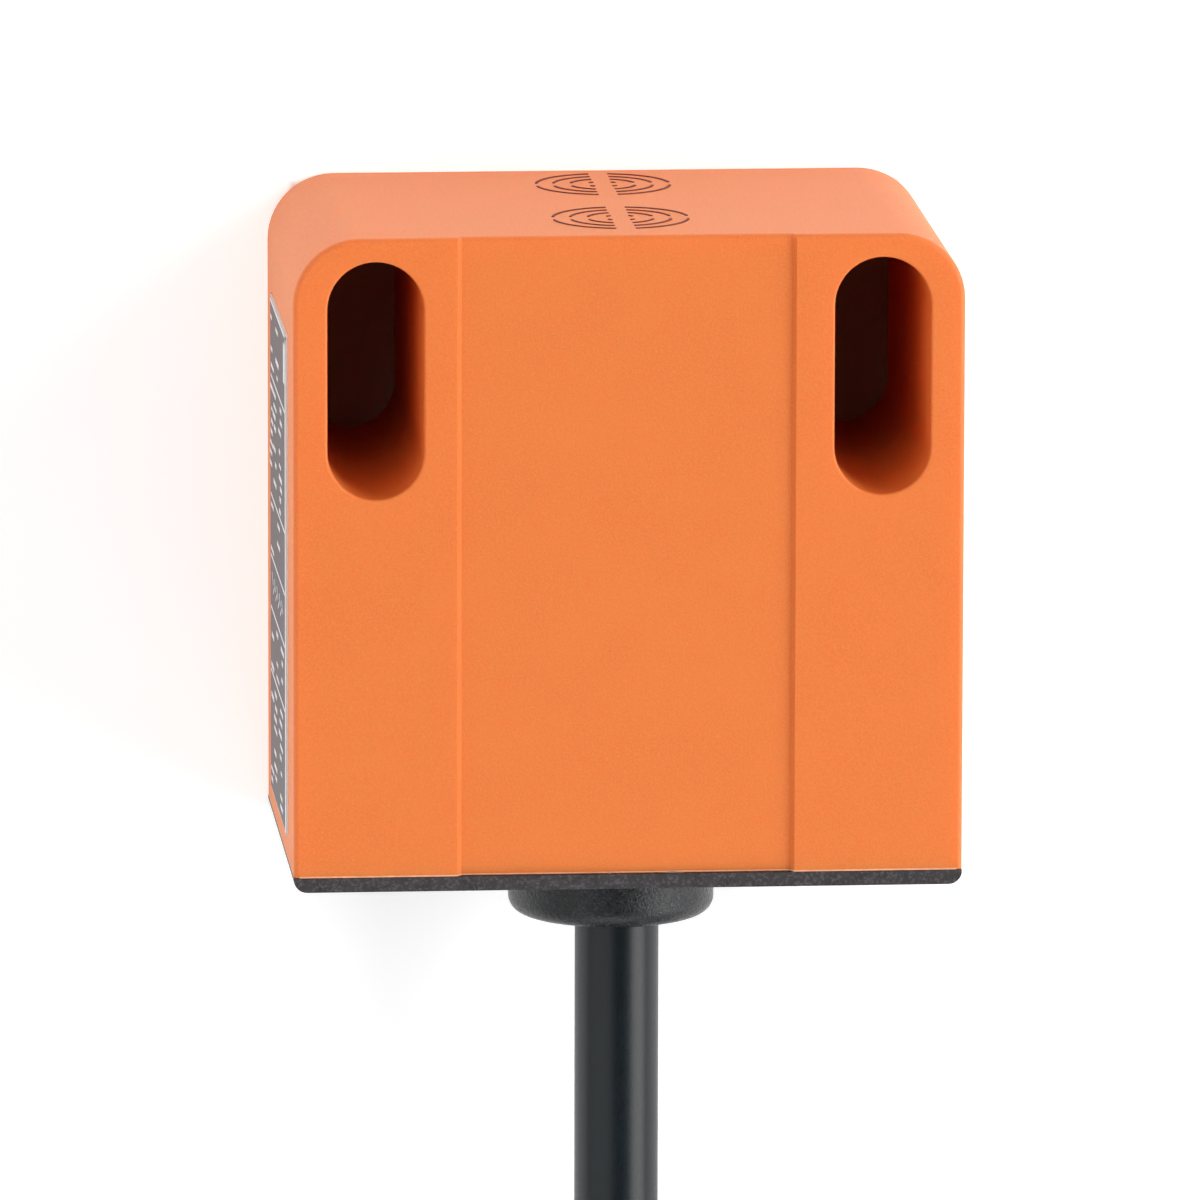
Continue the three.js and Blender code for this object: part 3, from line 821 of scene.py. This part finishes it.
def make_housing():
    """The orange shell: a hollow block with two slots, a set-back panel and a label pocket."""
    body = block(
        "housing_shell", (-WIDTH / 2, WIDTH / 2), (Y_MOUTH - 1, Y_SENSE), (0, DEPTH),
        (MOUTH_CORNER, MOUTH_CORNER, CORNER, CORNER), BACK_EDGE, FRONT_EDGE, finish=ORANGE,
    )
    inner = WIDTH / 2 - WALL
    narrow = SLOT_X - SLOT_WIDTH / 2 - SLOT_WALL
    below = SLOT_BOTTOM - SLOT_WALL
    tools = [
        slot_cutter(-SLOT_X),
        slot_cutter(SLOT_X),
        box("wide_hollow", (-inner, inner), (Y_MOUTH - 1, below), (WALL, DEPTH - WALL)),
        box("narrow_hollow", (-narrow, narrow), (below - 1, Y_SENSE - WALL), (WALL, DEPTH - WALL)),
        panel_cutter(),
        mouth_cutter((-WIDTH / 2 - 1, WIDTH / 2 + 1), DEPTH),
        mouth_cutter((PANEL_X[0] + PANEL_RAMP, PANEL_X[1] - PANEL_RAMP), DEPTH - PANEL_STEP),
        box("label_pocket", (-WIDTH / 2 - 1, -WIDTH / 2 + LABEL_POCKET), LABEL_Y, LABEL_Z),
    ]
    shaped(body, tools)
    return finished(body, ("housing",))


make_housing()
make_ring_marks()

# ---- End cover and collar ----


def make_cover():
    """The thin black plate, its spigot inside the housing, and the holes through both."""
    plate = block(
        "cover_plate", (-WIDTH / 2, WIDTH / 2), (Y_COVER_END, Y_COVER), (0, DEPTH),
        (COVER_CORNER, COVER_CORNER, COVER_EDGE, COVER_EDGE), COVER_EDGE, COVER_EDGE, 8, 4, COVER,
    )
    reach = WIDTH / 2 - WALL - SPIGOT_GAP
    low = WALL + SPIGOT_GAP
    overlap = 0.4
    spigot = box(
        "spigot", (-reach, reach), (Y_COVER - overlap, Y_COVER + SPIGOT_DEPTH), (low, DEPTH - low),
    )
    shaped(plate, [spigot], "UNION")
    through = (Y_COVER_END - 1, Y_COVER + 3)
    holes = [rod("outlet", OUTLET_RADIUS, through, 0, AXIS_Z)]
    holes += [rod("window", WINDOW_RADIUS, through, x, GUIDE_Z) for x in GUIDE_X]
    shaped(plate, holes)
    return finished(plate, ("end_cover",))


def make_collar():
    """A turned ring with a rounded end, a neck through the cover and a flange behind it."""
    edge, end = COLLAR_EDGE, Y_COLLAR_END
    profile = []
    for k in range(13):
        a = math.pi / 2 * k / 12
        profile.append((COLLAR_RADIUS - edge + edge * math.sin(a), end + edge - edge * math.cos(a), 0))
    for k in range(1, 24):
        profile.append((COLLAR_RADIUS, end + edge + (Y_RIM - end - edge) * k / 24, 0))
    back = FLANGE_Y + FLANGE_THICKNESS
    profile += [
        (COLLAR_RADIUS, Y_RIM, 0), (NECK_RADIUS, Y_RIM, 0), (NECK_RADIUS, FLANGE_Y, 0),
        (FLANGE_RADIUS, FLANGE_Y, 0), (FLANGE_RADIUS, back, 0),
        (BORE_RADIUS, back, CABLE_X), (BORE_RADIUS, end + 2 * LIP_LENGTH, CABLE_X),
        (LIP_RADIUS, end + LIP_LENGTH, CABLE_X), (LIP_RADIUS, end, CABLE_X),
    ]
    collar = turned("moulded_collar", profile, 0, AXIS_Z, 144, COLLAR)
    return finished(collar, ("cable_collar",), 50)


make_cover()
make_collar()

# ---- A pale ridge painted as a highlight, and drops of casting resin with a painted glint, along the mouth ----


def make_mouth_highlight_ridge():
    """A thin raised ridge along the front of the mouth, coloured pale as a painted highlight of the edge."""
    low = PANEL_STEP
    left, right = PANEL_X
    reach = WIDTH / 2 - 0.35
    top = DEPTH - 0.04
    corners = (
        (-reach, 0), (left - PANEL_RAMP, 0), (left + PANEL_RAMP, low),
        (right - PANEL_RAMP, low), (right + PANEL_RAMP, 0), (reach, 0),
    )
    path = []
    for (x0, drop0), (x1, drop1) in zip(corners, corners[1:]):
        steps = max(2, round((x1 - x0) / 0.25))
        for k in range(steps):
            share = k / steps
            path.append((x0 + (x1 - x0) * share, HIGHLIGHT_RIDGE_Y, top - drop0 - (drop1 - drop0) * share))
    path.append((reach, HIGHLIGHT_RIDGE_Y, top))
    flash = tube("mouth_highlight_ridge", path, HIGHLIGHT_RIDGE_RADIUS, 8, RIDGE_HIGHLIGHT_PAINT)
    return finished(flash, weighted=False)


def make_seam_bead(number, x, radius):
    """A thin drop, thicker at one end, that lies along the seam; its pale colour is a painted glint."""
    rings = []
    steps, sides = 16, 14
    for k in range(steps + 1):
        share = 0.02 + 0.96 * k / steps
        r = radius * math.sqrt(math.sin(math.pi * share)) * (1.25 - 0.6 * share)
        ring = []
        for n in range(sides):
            a = 2 * math.pi * n / sides
            place = x[0] + (x[1] - x[0]) * share
            ring.append((place, BEAD_Y + r * math.cos(a), BEAD_Z + r * math.sin(a)))
        rings.append(ring)
    return finished(loft(f"seam_bead_{number}", rings, RESIN_BEAD_GLINT), weighted=False)


make_mouth_highlight_ridge()
for number, (x, radius) in enumerate(BEADS, 1):
    make_seam_bead(number, x, radius)

# ---- Label ----


def bar_tree():
    """A thin bar at each point, as long and as high as the point says."""
    tree, given, result = make_tree("label_bars", (("Thickness", "Float"), ("Material", "Material")))
    size = put(tree, "GeometryNodeInputNamedAttribute", ("Name", "size"), data_type="FLOAT_VECTOR")
    thick = put(tree, "ShaderNodeCombineXYZ", ("X", given["Thickness"]), ("Y", 1.0), ("Z", 1.0))
    cube = put(tree, "GeometryNodeMeshCube", ("Size", thick.outputs[0]))
    turn = put(tree, "GeometryNodeInputNamedAttribute", ("Name", "turn"), data_type="FLOAT_VECTOR")
    bars = put(
        tree, "GeometryNodeInstanceOnPoints", ("Points", given["Geometry"]),
        ("Instance", cube.outputs[0]), ("Scale", size.outputs[0]), ("Rotation", turn.outputs[0]),
    )
    end_tree(tree, bars.outputs[0], given["Material"], result)
    return tree


# Where along Y the dividing lines lie, and the blocks of small print: from y, to y, row spacing,
# and where along Z their columns lie.
LABEL_DIVIDERS = (7.66, 0.37, -3.4, -6.6, -10.5)
LABEL_TEXT = (
    (8.4, 11.9, 0.95, (6.4, 11.2)), (0.9, 7.3, 0.68, (6.0, 9.4, 14.6)), (-2.9, 0.1, 1.3, (7.0, 13.5)),
    (-10.0, -7.2, 0.9, (6.5, 12.0, 16.0)), (-17.2, -11.2, 0.74, (6.0, 10.0, 15.0)),
)


def label_lines():
    """Bars of the label, as (y, z, length along Y, width along Z, turn)."""
    y0, y1 = LABEL_Y[0] + 0.25, LABEL_Y[1] - 0.25
    z0, z1 = LABEL_Z[0] + 0.25, LABEL_Z[1] - 0.25
    mid_z = (z0 + z1) / 2
    bars = [((y0 + y1) / 2, z1 - 0.45, y1 - y0, 0.9, 0), (y1 - 0.12, mid_z, 0.22, z1 - z0, 0)]
    for y in LABEL_DIVIDERS:
        bars.append((y, mid_z - 0.3, 0.16, z1 - z0 - 1.6, 0))
    bars.append((10.5, 18.3, 2.4, 1.2, 0))
    for k in range(9):
        bars.append((-4.9 + 0.25 * (-1) ** k, z0 + 2.2 + 1.2 * k, 0.14, 1.3, 0.45 * (-1) ** k))
    rng = np.random.default_rng(7)
    for low, high, step, columns in LABEL_TEXT:
        for y in np.arange(low, high, step):
            for z in columns:
                if rng.uniform() < 0.25:
                    continue
                length = rng.uniform(1.1, 3.0)
                shift = rng.uniform(-0.8, 0.8)
                bars.append((y + rng.uniform(-0.1, 0.1), z + shift, rng.uniform(0.2, 0.32), length, 0))
    return bars


def make_label():
    """A pale core, whose rim shows round the dark face, and the printed bars on it."""
    face_x = -WIDTH / 2 - LABEL_PROUD
    y = (LABEL_Y[0] + LABEL_GAP, LABEL_Y[1] - LABEL_GAP)
    z = (LABEL_Z[0] + LABEL_GAP, LABEL_Z[1] - LABEL_GAP)
    core = box("label_core", (face_x, -WIDTH / 2 + 0.1), y, z)
    core.data.materials.append(LABEL_CORE)
    finished(core, ("side_label",), weighted=False)
    face = box(
        "label_face", (face_x - 0.01, face_x + 0.02),
        (y[0] + LABEL_RIM, y[1] - LABEL_RIM), (z[0] + LABEL_RIM, z[1] - LABEL_RIM),
    )
    face.data.materials.append(LABEL_FOIL)
    finished(face, weighted=False)
    lines = label_lines()
    x = face_x - 0.01 - PRINT_THICKNESS / 2
    piece = object_from("label_print", [(x, y, z) for y, z, *_ in lines], [])
    sizes = piece.data.attributes.new("size", "FLOAT_VECTOR", "POINT")
    sizes.data.foreach_set("vector", [v for _, _, a, b, _ in lines for v in (1, a, b)])
    turns = piece.data.attributes.new("turn", "FLOAT_VECTOR", "POINT")
    turns.data.foreach_set("vector", [v for *_, t in lines for v in (t, 0, 0)])
    grown(piece, bar_tree(), {"Thickness": PRINT_THICKNESS, "Material": LABEL_INK})
    finished(face_outwards(piece), weighted=False)


make_label()

# ---- What lies on the cord ----


def make_tie(number, end_y, angle):
    """A flat strip round the bundle of turns, its ends twisted together on top."""
    r = CABLE_DIAMETER / 2
    thick, width = TIE_THICKNESS, TIE_WIDTH
    x = (TURN_INNER - r - TIE_SLACK - thick / 2, TURN_OUTER + r + TIE_SLACK + thick / 2)
    low = TURN_LIFT - TIE_SLACK / 2 - thick / 2
    high = TURN_TOP + TIE_SLACK + thick / 2
    place = Matrix.Translation((HANK_X, end_y, 0)) @ Matrix.Rotation(math.radians(angle), 4, "Z")
    strip = tie_strip(f"tie_strip_{number}", x, (low, high), thick, width)
    strip.data.transform(place)
    twist = tie_twist(f"tie_twist_{number}", (x[0] + x[1]) / 2, high + thick / 2 + 0.72)
    twist.data.transform(place)
    return [
        finished(strip, (f"coil_tie_{number}",), 60),
        finished(twist, (), 60, False),
    ]


def tie_strip(name, x, z, thick, width):
    """A closed loop of flat strip that stands upright across the turns."""
    loop = outline(x, z, (2.2,) * 4, 8)
    points, faces = [], []
    count = len(loop)
    centre = Vector(((x[0] + x[1]) / 2, (z[0] + z[1]) / 2))
    for k, (px, pz) in enumerate(loop):
        before, after = Vector(loop[k - 1]), Vector(loop[(k + 1) % count])
        out = (after - before).normalized()
        out = Vector((out.y, -out.x))
        if out.dot(Vector((px, pz)) - centre) < 0:
            out = -out
        for side, push in ((-1, -1), (1, -1), (1, 1), (-1, 1)):
            shift = out * push * thick / 2
            points.append((px + shift.x, side * width / 2, pz + shift.y))
        n = (k + 1) % count
        for s in range(4):
            t = (s + 1) % 4
            faces.append([k * 4 + s, k * 4 + t, n * 4 + t, n * 4 + s])
    return face_outwards(object_from(name, points, faces, TIE))


def tie_twist(name, middle, height):
    """The two ends of a tie, twisted three times round each other."""
    rings = []
    for k in range(61):
        share = k / 60
        turn = share * 6 * math.pi
        ring = []
        for dy, dz in ((-1, -0.3), (1, -0.3), (1, 0.3), (-1, 0.3)):
            y, z = 0.85 * dy, 0.85 * dz
            ring.append((
                middle - 6 + 12 * share, y * math.cos(turn) - z * math.sin(turn),
                height + (y * math.sin(turn) + z * math.cos(turn)) * 0.9,
            ))
        rings.append(ring)
    return loft(name, rings, TIE)


WIRE_COLOURS = {
    "brown": (92, 54, 34), "white": (228, 226, 218), "blue": (34, 84, 168), "black": (28, 29, 31),
}
WIRE_START = 3  # past the jacket's end, and then in steps
WIRE_STEP = 6.5
WIRE_STEPS = 4
WIRE_SPACING = 1.5
WIRE_FAN = 0.55
WIRE_DRIFT = 1.3
on_the_cord = []
for number, (end_y, angle) in enumerate(TIE_PLACES, 1):
    on_the_cord += make_tie(number, end_y, angle)


def past_jacket(along, radius, z):
    """A place on the hank past the jacket's end, which is at its near left corner."""
    if along < HANK_RUN:
        return np.array((HANK_X - radius, HANK_Y - along, z))
    a = math.pi + (along - HANK_RUN) / TURN_INNER
    return np.array((HANK_X + radius * math.cos(a), HANK_Y - HANK_RUN + radius * math.sin(a), z))


def wire_route(index):
    """A wire's way out of the jacket's end, up onto the turns and across them."""
    end = route[-1]
    start = HANK_Y - end[1]
    spread = index - 1.5
    across, above = (-0.8, 0.8)[index % 2], (-0.8, 0.8)[index // 2]
    points = [past_jacket(start + along, TURN_INNER + across, end[2] + above) for along in (-2, 0.8)]
    for i in range(1, WIRE_STEPS + 1):
        radius = TURN_INNER + 2.5 + spread * (WIRE_SPACING + WIRE_FAN * i) + i * WIRE_DRIFT
        points.append(past_jacket(WIRE_START + WIRE_STEP * i, radius, TURN_TOP + 0.75))
    return points


WIRE_FINISH = {
    name: plain(f"wire_{name}", colour, 0.35, 0.6, 0.9, 1.1, 0.004)
    for name, colour in WIRE_COLOURS.items()
}
TINNED = plain("tinned_copper", (196, 198, 200), 0.3, 0.25, 0.85, 1.1, 0.02, Metallic=1.0)
for index, name in enumerate(WIRE_COLOURS):
    path = smooth_path(wire_route(index), 8)
    wire = tube(f"core_{name}", path, CORE_RADIUS, 16, WIRE_FINISH[name])
    on_the_cord.append(finished(wire, (f"wire_{name}",), weighted=False))
    along = path[-1] - path[-2]
    along /= np.linalg.norm(along)
    tip = [path[-1] + along * s for s in np.linspace(*STRAND_REACH, 24)]
    strand = tube(f"tip_{name}", tip, STRAND_RADIUS, 12, TINNED)
    on_the_cord.append(finished(strand, (f"wire_tip_{name}",), weighted=False))

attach(cable, "root")

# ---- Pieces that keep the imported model's shape ----

CARRIER = plain("carrier_plastic", (214, 208, 192), 0.5, 1.2)
FERRITE = plain("ferrite", (44, 44, 47), 0.65, 0.3, 0.75, 1.3, 0.02)
COPPER = plain("copper_wire", (184, 98, 52), 0.3, 0.3, 0.8, 1.2, 0.03, Metallic=1.0)
BOARD = plain("circuit_board", (26, 92, 52), 0.3, 1.4, 0.8, 1.2)
CHIP = plain("chip_black", (24, 24, 26), 0.5, 0.4)
CERAMIC = plain("ceramic_tan", (178, 150, 110), 0.5, 0.5)
CLEAR = plain("clear_plastic", (226, 222, 200), 0.12, 0.8, 0.97, 1.03, 0.003)
RESIN = plain("casting_resin", (66, 48, 32), 0.15, 2.0)
STEEL = plain("steel_ring", (168, 171, 173), 0.3, 0.3, 0.85, 1.1, 0.01, Metallic=1.0)
KEPT = {
    "coil_carrier": CARRIER, "bobbin": CARRIER, "pot_core": FERRITE, "winding": COPPER,
    "coil_pin": TINNED, "circuit_board": BOARD, "controller_chip": CHIP, "output_chip": CHIP, "protection_diode": CHIP,
    "capacitor": CERAMIC, "indicator_led": CLEAR, "light_guide": CLEAR, "potting_resin": RESIN,
    "crimp_ring": STEEL, "jacket_inner_end": JACKET,
}
KEPT.update({f"inner_lead_{name}": finish for name, finish in WIRE_FINISH.items()})
for name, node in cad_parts.items():
    for start, finish in KEPT.items():
        if name.startswith(start):
            for place in node.material_slots:
                place.material = finish

# ---- Studio ----


SKY = 0.18
SKY_STOPS = ((0.0, 0.9), (0.75, 0.05))  # (height, grey level)
FLOOR_REACH = 3000
FLOOR_Z = -0.05
PAPER_GLOW = 0.34
# Painted shadow: how light the paper is painted under the sensor.
PAINTED_SHADOW_UNDER_SENSOR = 0.5
# Where the painted shadow under the sensor ends and the glow begins, from the middle, in hundreds of
# millimetres.
SHADE_EDGE = (0.182, 0.1835)
GLOW_EDGE = (0.1835, 0.185)
# Name, place in metres, width, height, and power in watts.
LAMPS = (
    ("right_softbox", (0.98, 0.1, 0.66), 1.4, 0.85, 17.5),
    ("left_softbox", (-0.85, 0.2, 0.85), 1.8, 1.6, 10),
    ("far_softbox", (0, 0.9, 1.02), 1.4, 0.45, 2.6),
    ("near_softbox", (0, -1.1, 0.75), 1.8, 0.8, 9.5),
)


def make_sky():
    """A dim world, paler near the horizon than overhead."""
    world = bpy.data.worlds.new("studio")
    world.use_nodes = True
    nodes, links = world.node_tree.nodes, world.node_tree.links
    place = nodes.new("ShaderNodeTexCoord").outputs["Generated"]
    height = nodes.new("ShaderNodeSeparateXYZ")
    links.new(place, height.inputs[0])
    fade = nodes.new("ShaderNodeValToRGB")
    for element, (stop, grey) in zip(fade.color_ramp.elements, SKY_STOPS):
        element.position, element.color = stop, (grey, grey, grey, 1)
    links.new(height.outputs["Z"], fade.inputs["Fac"])
    links.new(fade.outputs["Color"], nodes["Background"].inputs["Color"])
    nodes["Background"].inputs["Strength"].default_value = SKY
    bpy.context.scene.world = world


def make_paper():
    """White paper with a soft glow, and a painted shadow darkening it under the sensor, where the slots look down on
    it.
    """
    far = FLOOR_REACH
    floor = object_from("studio_floor", [
        (-far, -far, FLOOR_Z), (far, -far, FLOOR_Z), (far, far, FLOOR_Z), (-far, far, FLOOR_Z),
    ], [[0, 1, 2, 3]])
    floor.data.transform(Matrix.Scale(MM, 4))
    paper = Finish("studio_paper", (250, 250, 250), 0.9, Emission_Color=(1, 1, 1, 1))
    apart = paper.nodes.new("ShaderNodeSeparateXYZ")
    paper.links.new(paper.place, apart.inputs[0])
    across = paper.maths("ABSOLUTE", apart.outputs["X"])
    along = paper.maths("ABSOLUTE", apart.outputs["Y"])
    away = paper.maths("MULTIPLY", paper.maths("MAXIMUM", across, along), 10.0)
    glow = paper.ramp(away, (GLOW_EDGE[0], 0), (GLOW_EDGE[1], PAPER_GLOW))
    paper.links.new(glow, paper.shader.inputs["Emission Strength"])
    # Painted shadow: the paper's colour is darker under the sensor, so the slots look down on shade.
    paper.paint(paper.ramp(away, (SHADE_EDGE[0], PAINTED_SHADOW_UNDER_SENSOR), (SHADE_EDGE[1], paper.colour)))
    floor.data.materials.append(paper.material)


def make_lamp(name, place, wide, tall, watts):
    """A rectangular softbox that faces the middle of the sensor."""
    data = bpy.data.lights.new(name, "AREA")
    data.shape = "RECTANGLE"
    data.size, data.size_y = wide, tall
    data.energy = watts
    lamp = bpy.data.objects.new(name, data)
    bpy.context.scene.collection.objects.link(lamp)
    away = Vector(place).normalized()
    side = Vector((0, 0, 1)).cross(away).normalized()
    turn = Matrix((side, away.cross(side), away)).transposed()
    lamp.matrix_world = Matrix.Translation(place) @ turn.to_4x4()


bpy.context.scene.view_settings.view_transform = "Standard"
make_sky()
make_paper()
for lamp in LAMPS:
    make_lamp(*lamp)
